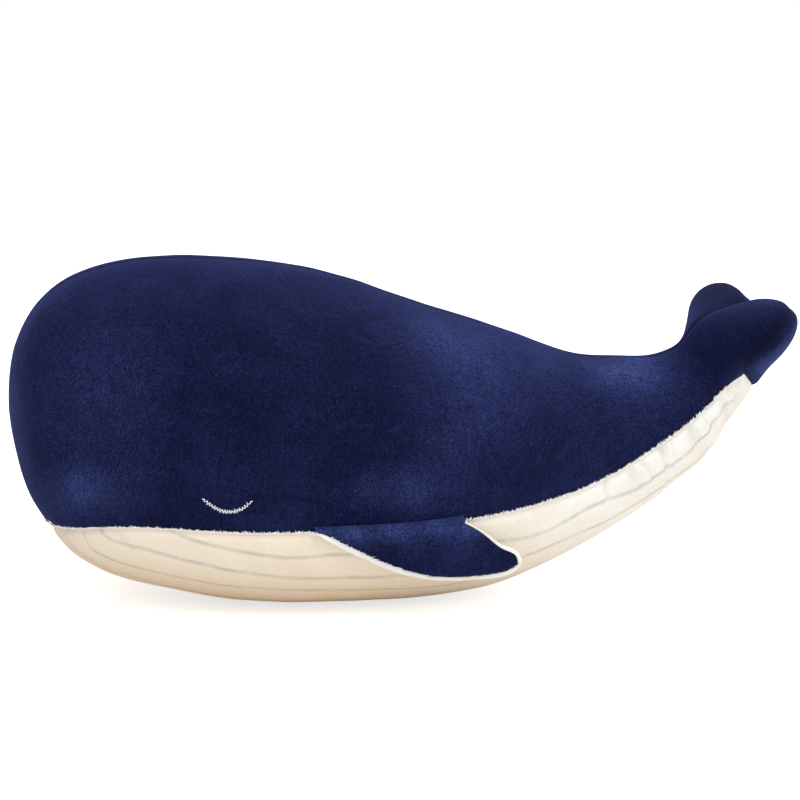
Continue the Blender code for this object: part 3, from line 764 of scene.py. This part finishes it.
def belly_relief(height, place, seam, fade):
    """The height with the gathers, the chin's roll and the sunken lines, and attributes for the colours."""
    x, y = place[:, 0], place[:, 1]
    share, around, distances, shown = belly_places(place)
    slant = x - (0.45 + 0.25 * np.sin(x * 130)) * seam
    fold, crest = np.zeros(len(x)), np.zeros(len(x))
    for middle, width, depth, reach in FOLDS:
        shift = np.where(y > 0, 0.006 * math.sin(middle * 900), 0)
        away = (slant - middle - shift) / width
        fall = np.exp(-(seam / reach) ** 1.5)
        fold = fold + depth * bell(away, 1) * fall
        crest = crest + 0.45 * depth * bell(np.abs(away) - 2.3, 1) * fall
    height = height + 0.003 * (crest - fold) * (1 - bell(seam, 0.0025))
    chin = 1 - smoothstep(x, -0.225, -0.165)
    height = height + chin * (0.0016 * bell(seam - 0.024, 0.012) - 0.0026 * bell(seam, 0.007))
    height = height - 0.0004 * (bell(distances, 0.0015) * shown).max(axis=1) * fade
    # The third number is the folds' depth, which the cream cloth uses for the folds' painted shade
    spot = np.stack([share, np.clip(around, 0, 1), np.clip(fold, 0, 1)], 1)
    return height, {"place": spot, "lines_a": distances[:, :3], "lines_b": distances[:, 3:],
                    "shown_a": shown[:, :3], "shown_b": shown[:, 3:]}


def paint_pile_and_light(name, place, seam, on_fluke):
    """How much lighter the navy is painted, or darker where it is below zero: brushed pile, painted
    highlights and painted shade.
    """
    glow = np.zeros(len(place))
    for x, y, z, size, strength in PILE_AND_LIGHT_PATCHES:
        # What is on the left side is on the right one too
        for across in (y, -y) if y < 0 else (y,):
            glow += strength * bell(np.linalg.norm(place - (x, across, z), axis=1), size)
    # Painted shade along the crease on the fluke, and a painted sheen highlight on the strip of the fluke's
    # lower cloth beside it
    crease_shade = bell(seam, 0.008) * on_fluke
    strip_sheen = bell(seam - 0.012, 0.006) * on_fluke
    glow += 0.75 * strip_sheen - 0.5 * crease_shade if name == "fluke_underside" else -0.8 * crease_shade
    return np.where(glow > 0, 0.62 * glow, glow)


def cut_panels():
    """The whole form, made finer near its seams and cut along them: points and triangles of each panel."""
    points, tris = whole_form()
    seam, cross = seam_value(points), cross_value(points)
    for halving in range(2):
        marked = np.abs(seam) < 0.0045
        if halving == 0:
            marked = (np.abs(seam) < 0.008) | ((seam > -0.004) & (np.abs(points[:, 1]) < 0.004))
            marked |= (np.abs(cross) < 0.006) & (seam < 0.006)
        points, tris = split_edges(points, tris, marked)
        seam, cross = seam_value(points), cross_value(points)
    table = np.column_stack([points, normals_of(points, tris), seam, cross])
    upper, lower = clip(table, tris, seam), clip(table, tris, -seam)
    return {
        "back_left": clip(*upper, -upper[0][:, 1]),
        "back_right": clip(*upper, upper[0][:, 1]),
        "belly": clip(*lower, -lower[0][:, 7]),
        "fluke_underside": clip(*lower, lower[0][:, 7]),
    }


def body_pieces():
    """The two side panels, the belly and the fluke's lower cloth, with their lumps, seams and folds."""
    objects = {}
    eye = body_point(np.array([EYE_ROW]), np.array([EYE_TURN]))[0] - (0, 0, 0.003)
    for name, (data, tris) in cut_panels().items():
        place, out, (seam, cross) = data[:, :3].copy(), unit(data[:, 3:6]), np.abs(data[:, 6:].T)
        y = place[:, 1]
        on_fluke = smoothstep(tail_local(place)[0], 0.004, 0.018)
        sink = SEAM_DEPTH * bell(seam, SEAM_WIDTH * (1 + 0.6 * on_fluke))
        # Painted shade in the seams' grooves, wider on the fluke, and along the back seam and the belly's
        # cross seam
        seam_shade = bell(seam, 0.0012 + 0.0008 * on_fluke)
        if name in ("back_left", "back_right"):
            sink = np.maximum(sink, BACK_SEAM_DEPTH * bell(y, BACK_SEAM_WIDTH))
            seam_shade = np.maximum(seam_shade, 0.8 * bell(y, 0.0008))
        else:
            sink = np.maximum(sink, 0.002 * bell(cross, 0.0025))
            seam_shade = np.maximum(seam_shade, bell(cross, 0.0012))
        to_eye = np.linalg.norm(place * (1, 0, 1) - np.abs(y)[:, None] * (0, 1, 0) - eye, axis=1)
        fade = 1 - bell(np.minimum(seam, np.abs(place[:, 2]) + 0.02), 0.01)
        lump = lumps(place, 0.055, 0.0011, 1) + lumps(place, 0.024, 0.0005, 2)
        lump = lump * fade * (1 - bell(to_eye, 0.03))
        if name == "belly":
            height, attributes = belly_relief(lump - sink, place, seam, fade)
        else:
            height = lump - sink - 0.0012 * bell(to_eye, 0.019)
        place += out * height[:, None]
        place[:, 2] = np.maximum(place[:, 2], 0.0002)
        if name != "belly":
            attributes = {"glow": paint_pile_and_light(name, place, seam, on_fluke)}
        material = CREAM_VELVET if name == "belly" else NAVY_VELVET
        attributes = {"rest": place, "seam": seam_shade} | attributes
        objects[name] = cloth_piece(name, place, out, tris, material, CLOTH, attributes)
    return objects


# Fins


def fin_place(along, out, lift):
    """Points of the left fin, which is cupped round the belly."""
    bend = (out / FIN_CUP_RADIUS)[..., None]
    middle = FIN_START + along[..., None] * FIN_STEP
    middle = middle + FIN_CUP_RADIUS * (np.sin(bend) * FIN_HANG - (1 - np.cos(bend)) * FIN_OFF)
    return middle + lift[..., None] * (np.cos(bend) * FIN_OFF + np.sin(bend) * FIN_HANG)


def seam_polyline():
    """Points in the left side's belly seam from the chin to the tail, with the outward directions there."""
    rows = np.linspace(0.02, 1, 900)
    ahead = rows[np.argmax(seam_turns(rows) < 0.9999) - 1]
    # The seam meets the middle plane almost square, so the rows lie closest together there
    rows = ahead + (1 - ahead) * np.linspace(0, 1, 1200) ** 2
    turns = seam_turns(rows)
    keep = turns < 0.9999
    rows, turns = rows[keep], turns[keep]
    return body_point(rows, turns), body_frame(rows, turns)[2]


def fin_measures(row):
    """For each row of the fin, its width from edge to edge and how far its middle is from the tip."""
    front, back, tip = (FIN.point(*at)[:, :2] for at in ((row, 0), (row, 1), (np.zeros(1), 0)))
    return np.linalg.norm(front - back, axis=1), np.linalg.norm((front + back) / 2 - tip, axis=1)


FIN_ROWS = np.linspace(0, 1, 200)
FIN_CHORDS, FIN_REACHES = fin_measures(FIN_ROWS)


def fin_turn(row, inset):
    """How far round the fin a line runs that stays the inset inside the front edge, and more at the tip."""
    chord, reach = fin_measures(row)
    before = np.interp(reach - TIP_INSET, FIN_REACHES, FIN_CHORDS, left=0)
    inset = np.maximum(inset, (chord - before) / 2)
    share = np.clip(inset / np.maximum(chord, 1e-5), 0, 0.5)
    return np.arccos(1 - 2 * share) / math.pi


def fin_pieces(side, label, seam_points, seam_out):
    """The navy upper cloth, the cream cloth under it, and the upper cloth's grid of points and directions."""
    pieces = {}
    for name, size, begin, ends, tuck, rise, puff, facing in (
        ("top", 44, np.interp(TIP_INSET, FIN_REACHES, FIN_ROWS), (1, 0), 0.0012, 0.0052, 0.0034, side),
        ("underside", 48, 0.0004, (0, 1), 0.0026, -0.001, 0.0, -side),
    ):
        row = begin + (1 - begin) * (1 - np.cos(np.linspace(0, math.pi / 2, size)))
        front = fin_turn(row, 0.0046 + 0.003 * (1 - row))
        back = 1 - fin_turn(row, 0.0012 + 0.0012 * (1 - row) ** 2)
        first, last = (front, back) if name == "top" else (back, 2 + front)
        first, last = first[:, None], last[:, None]
        turn = first + (last - first) * (0.5 - 0.5 * np.cos(math.pi * np.linspace(0, 1, size)))
        flat = FIN.point(row[:, None], turn)
        along, out, lift = flat[..., 0], flat[..., 1], -flat[..., 2]
        width = np.maximum(fin_measures(row)[0], 0.004)[:, None]
        edge = np.minimum(np.abs(turn - first), np.abs(turn - last)) * width * 1.3
        sink = 0.0011 * bell(edge, 0.002) * np.minimum(np.abs(lift) / 0.002, 1)
        spots = np.stack([along * 30, out * 30, np.full_like(out, 5.0)], -1).reshape(-1, 3)
        wobble = np.array([noise.noise(Vector(spot)) for spot in spots]).reshape(out.shape)
        lift = lift + np.where(lift >= 0, 1, -1) * (0.0009 * wobble * np.minimum(edge / 0.008, 1) - sink)
        place = fin_place(along, out, lift)

        # The cloth runs on from the hinge into the belly seam
        root = place[-1]
        target = read_rows(root[:, 0], seam_points[:, 0], seam_points)
        outward = read_rows(root[:, 0], seam_points[:, 0], seam_out)
        target[:, 0] -= 0.0062 * np.linspace(*ends, size) ** 2
        target = target - tuck * outward + (0, 0, rise)
        swell = outward * puff
        extra = [root + (target - root) * share + swell * math.sin(math.pi * share) for share in ROOT_SHARES]
        place = np.concatenate([place, extra]) * (1, -side, 1)
        more = ((0, len(ROOT_SHARES)), (0, 0))
        # Painted shade in the groove along the fin's edge seam
        seam_shade = np.pad(bell(edge, 0.001), more)

        place = place.reshape(-1, 3)
        quads = grid(size + len(ROOT_SHARES), size)
        tris = np.concatenate([quads[:, [0, 1, 2]], quads[:, [0, 2, 3]]])
        normals = normals_of(place, tris)
        if normals[:, 1].sum() * facing < 0:
            tris, normals = tris[:, ::-1], -normals
        attributes = {"rest": place, "seam": seam_shade.ravel()}
        if name == "top":
            drop = np.pad(out, more) / FIN_DEPTH
            run = np.pad(along, more, mode="edge") / FIN_ROOT_LENGTH
            # Painted highlights: a lighter band along the root's roll, where light falls on it, and two
            # brighter spots near the root
            sheen = 0.85 * bell(drop, 0.17) * (0.55 + 0.45 * np.cos(run * 12.0) ** 2)
            sheen += 0.25 * bell(run - 0.95, 0.1) * bell(drop - 0.25, 0.25)
            sheen += 0.18 * bell(run - 0.62, 0.07) * bell(drop - 0.3, 0.2)
            attributes["glow"] = sheen.ravel()
            edge_grid = place.reshape(-1, size, 3), normals.reshape(-1, size, 3)
        else:
            plain = {"place": (0.8, 0.1, 0), "lines_a": 1, "lines_b": 1, "shown_a": 0, "shown_b": 0}
            attributes |= {key: np.full(place.shape, value, float) for key, value in plain.items()}
        material = NAVY_VELVET if name == "top" else CREAM_VELVET
        pieces[name] = cloth_piece(f"{label}_{name}", place, normals, tris, material, FIN_CLOTH, attributes)
    return pieces, *edge_grid


# Pile fringe and stitches


def draws(spans, count):
    """A column of random numbers for each span; all the spans are drawn for one thing after another."""
    return np.array([[chance.uniform(*span) for span in spans] for _ in range(count)]).T[..., None]


def copies(name, points, faces, size, material):
    """A mesh of many copies of one shape, from the points of all and the faces of the first."""
    every = [[corner + start for corner in face] for start in range(0, len(points), size) for face in faces]
    obj = mesh_object(name, points, every, material)
    put_attribute(obj.data, "rest", points)
    return obj


def tufts(name, points, outs, across, hidden, spacing, length, radius, lean, splay):
    """Small tapered tufts of pile along a line; across points from it over the cloth that they lie on."""
    way = np.concatenate([[0], np.cumsum(np.linalg.norm(np.diff(points, axis=0), axis=1))])
    count = int(way[-1] / spacing)
    at = np.linspace(0, way[-1], count) + draws([(-0.4, 0.4)], count)[0, :, 0] * spacing
    at = at[np.interp(at, way, hidden) < 0.5]
    base, out, over = (read_rows(at, way, rows) for rows in (points, outs, across))
    aside = np.cross(out, over)
    # Length, lean over and aside, curl over and aside, and width of each tuft
    spans = ((0.45, 1.25), (-0.5, 0.35), (-splay, splay), (-0.2, 0.5), (-0.4, 0.4), (0.7, 1.3))
    reach, lean_over, lean_aside, curl_over, curl_aside, wide = draws(spans, len(at))
    reach, wide = length * reach, radius * wide
    tip_way = unit(out * (1 - lean) + over * (lean + lean_over) + aside * lean_aside)
    curl = over * curl_over + aside * curl_aside
    flat = unit(np.cross(tip_way, out))
    high = np.cross(flat, tip_way)
    tuft = []
    for share, size in ((0.0, 0.8), (0.45, 1.0), (0.8, 0.6)):
        centre = base + tip_way * reach * share + curl * reach * share**2 * 0.6
        tuft += round_points(centre, flat, high, wide * size, 4)
    tuft.append(base + tip_way * reach + curl * reach * 0.6)
    faces = grid(3, 4, closed=True).tolist()
    faces += [[8, 9, 12], [9, 10, 12], [10, 11, 12], [11, 8, 12], [3, 2, 1, 0]]
    return copies(name, np.stack(tuft, 1).reshape(-1, 3), faces, len(tuft), CREAM_PILE)


def eye_strands(side, label):
    """A closed eye: strands of thread laid side by side across a shallow arc."""
    rings = sides = 6
    along, around, _ = body_frame(np.array([EYE_ROW]), np.array([EYE_TURN]))
    spans = ((0.55, 1.5), (-0.015, 0.015), (-0.0003, 0.0003))
    size, slant, shift = draws(spans, EYE_STRANDS)
    strand = np.arange(EYE_STRANDS)[:, None]
    share = np.arange(rings) / (rings - 1)

    # Along the arc from -1 to 1, and across it in metres
    middle = -1 + 2 * strand / (EYE_STRANDS - 1)
    half = STRAND_LENGTH / 2 * np.minimum(1.0, 0.45 + 2.8 * (1 - np.abs(middle))) * size
    slant = 0.052 * (2 * (strand % 2) - 1) + slant
    s = np.clip(middle + slant * (share - 0.5), -1.05, 1.05)
    v = -half + 2 * half * share + shift
    slope = -2 * EYE_DROP * s / (EYE_WIDTH / 2)
    tilt = np.hypot(1, slope)
    row = EYE_ROW + (EYE_WIDTH / 2 * s - v * slope / tilt) / np.linalg.norm(along)
    drop = EYE_DROP * (1 - s * s) * (1 + 0.14 * s) - EYE_TILT * s
    turn = EYE_TURN + (drop + v / tilt) / np.linalg.norm(around)

    outward = body_frame(row, turn)[2]
    lift = 0.0003 + 0.0006 * np.sin(math.pi * np.clip(share, 0.02, 0.98)) ** 0.6
    centre = body_point(row, turn) + outward * (lift - 0.0012)[:, None]
    way = unit(centre[:, [1, 2, 3, 4, 5, 5]] - centre[:, [0, 0, 1, 2, 3, 4]])
    thick = STRAND_RADIUS * np.array([0.75, 1, 1, 1, 1, 0.75])[:, None]
    verts = np.stack(round_points(centre, unit(np.cross(way, outward)), outward, thick, sides), 2)
    verts = verts.reshape(-1, 3) * (1, -side, 1)
    faces = [*grid(rings, sides, closed=True).tolist(), [5, 4, 3, 2, 1, 0], [30, 31, 32, 33, 34, 35]]
    return copies(label, verts, faces, rings * sides, LILAC_THREAD)


# Assembly

panels = body_pieces()
for name, nodes in (
    ("back_left", ("back_panel_left", "fluke_top_panel")),
    ("back_right", ("back_panel_right",)),
    ("belly", ("belly_panel", "body_stuffing", "tail_stuffing")),
    ("fluke_underside", ("fluke_underside_panel", "fluke_stuffing")),
):
    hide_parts(*nodes)
    if name == "fluke_underside":
        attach(panels[name], "fluke")
    else:
        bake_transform(panels[name])

seam_points, seam_out = seam_polyline()
for side, label in ((-1, "left"), (1, "right")):
    # side -1 is the whale's left, where y is below zero
    flip = np.array([1, -side, 1])
    pieces, edge_points, edge_out = fin_pieces(side, f"fin_{label}", seam_points, seam_out)
    for part, nodes in (
        ("top", (f"fin_{label}_top_panel", f"fin_{label}_stuffing")),
        ("underside", (f"fin_{label}_underside_panel",)),
    ):
        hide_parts(*nodes)
        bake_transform(pieces[part])

    # The rim's pile stands on the upper cloth's front edge, short of the fin's root
    free = -len(ROOT_SHARES) - 1
    front, inner = edge_points[:free, 0], edge_points[:free, 3]
    inward = unit(inner - front, 1e-9)
    rim = tufts(f"fin_{label}_pile", front, edge_out[:free, 0], inward, np.zeros(len(front)),
                spacing=0.00036, length=0.0021, radius=0.00028, lean=0.6, splay=0.8)
    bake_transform(rim)

    line, out = seam_points * flip, seam_out * flip
    up = unit(np.cross(np.gradient(line, axis=0), out))
    up *= np.sign(up[:, 2].mean())
    # No pile along the fin's root
    root = np.abs(line[:, 1]) < 0.0005
    root |= (line[:, 0] > FIN_START[0] + 0.001) & (line[:, 0] < FIN_START[0] + FIN_ROOT_LENGTH - 0.001)
    pile = tufts(f"seam_pile_{label}", line - 0.001 * out, out, up, root.astype(float),
                 spacing=0.00026, length=0.0023, radius=0.00029, lean=0.64, splay=0.45)
    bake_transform(pile)

    stitches = eye_strands(side, f"eye_{label}_stitches")
    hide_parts(f"eye_{label}")
    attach(stitches, "body")

# Floor, light and camera


def studio():
    floor = mesh_object("floor", [(-6, -6, 0), (6, -6, 0), (6, 6, 0), (-6, 6, 0)], [(0, 1, 2, 3)])
    nodes = Nodes(bpy.data.materials.new("floor"))
    seen = nodes.node("LightPath").outputs["Is Camera Ray"]
    floor.data.materials.append(nodes.shade(
        Base_Color=(0.9, 0.89, 0.87), Roughness=1.0, Specular_IOR_Level=0.0,
        Emission_Color=(1.0, 1.0, 1.0), Emission_Strength=nodes.times(seen, 0.68)))
    world = bpy.data.worlds.new("world")
    bpy.context.scene.world = world
    nodes = Nodes(world)
    path = nodes.node("LightPath").outputs
    seen = nodes.math("ADD", path["Is Camera Ray"], path["Is Transmission Ray"], clamp=True)
    colour = nodes.mix(seen, (0.62, 0.63, 0.66), (1.0, 1.0, 1.0))
    nodes.plug(nodes.tree.nodes["Background"].inputs["Color"], colour)


def lamp(name, place, size, power):
    """A square area light that points at the whale."""
    data = bpy.data.lights.new(name, "AREA")
    data.shape = "RECTANGLE"
    data.size = data.size_y = size
    data.energy = power
    obj = link(bpy.data.objects.new(name, data))
    obj.location = place
    obj.rotation_euler = (Vector((0, 0, 0.1)) - Vector(place)).to_track_quat("-Z", "Y").to_euler()


def camera():
    """The photo's view: 9 degrees round towards the head, 11 degrees up, rolled by 1.7 degrees."""
    around, rise, roll = math.radians(9), math.radians(11), math.radians(1.7)
    back = Vector((-math.sin(around) * math.cos(rise), -math.cos(around) * math.cos(rise), math.sin(rise)))
    right = (-back).cross(Vector((0, 0, 1))).normalized()
    up = right.cross(-back)
    rolled = right * math.cos(roll) + up * math.sin(roll)
    upright = up * math.cos(roll) - right * math.sin(roll)
    data = bpy.data.cameras.new("camera")
    data.lens, data.sensor_width = 90, 36
    data.clip_start, data.clip_end = 0.05, 50
    obj = link(bpy.data.objects.new("camera", data))
    matrix = Matrix((rolled, upright, back)).transposed().to_4x4()
    matrix.translation = Vector((0.001, 0, 0.1266)) + back * 1.297
    obj.matrix_world = matrix
    bpy.context.scene.camera = obj


studio()
lamp("key", (-0.4, -1.2, 1.8), 1.2, 19)
lamp("top", (1.1, 0.4, 2.0), 1.6, 26)
lamp("fill", (1.6, -1.4, 0.9), 1.2, 5)
camera()
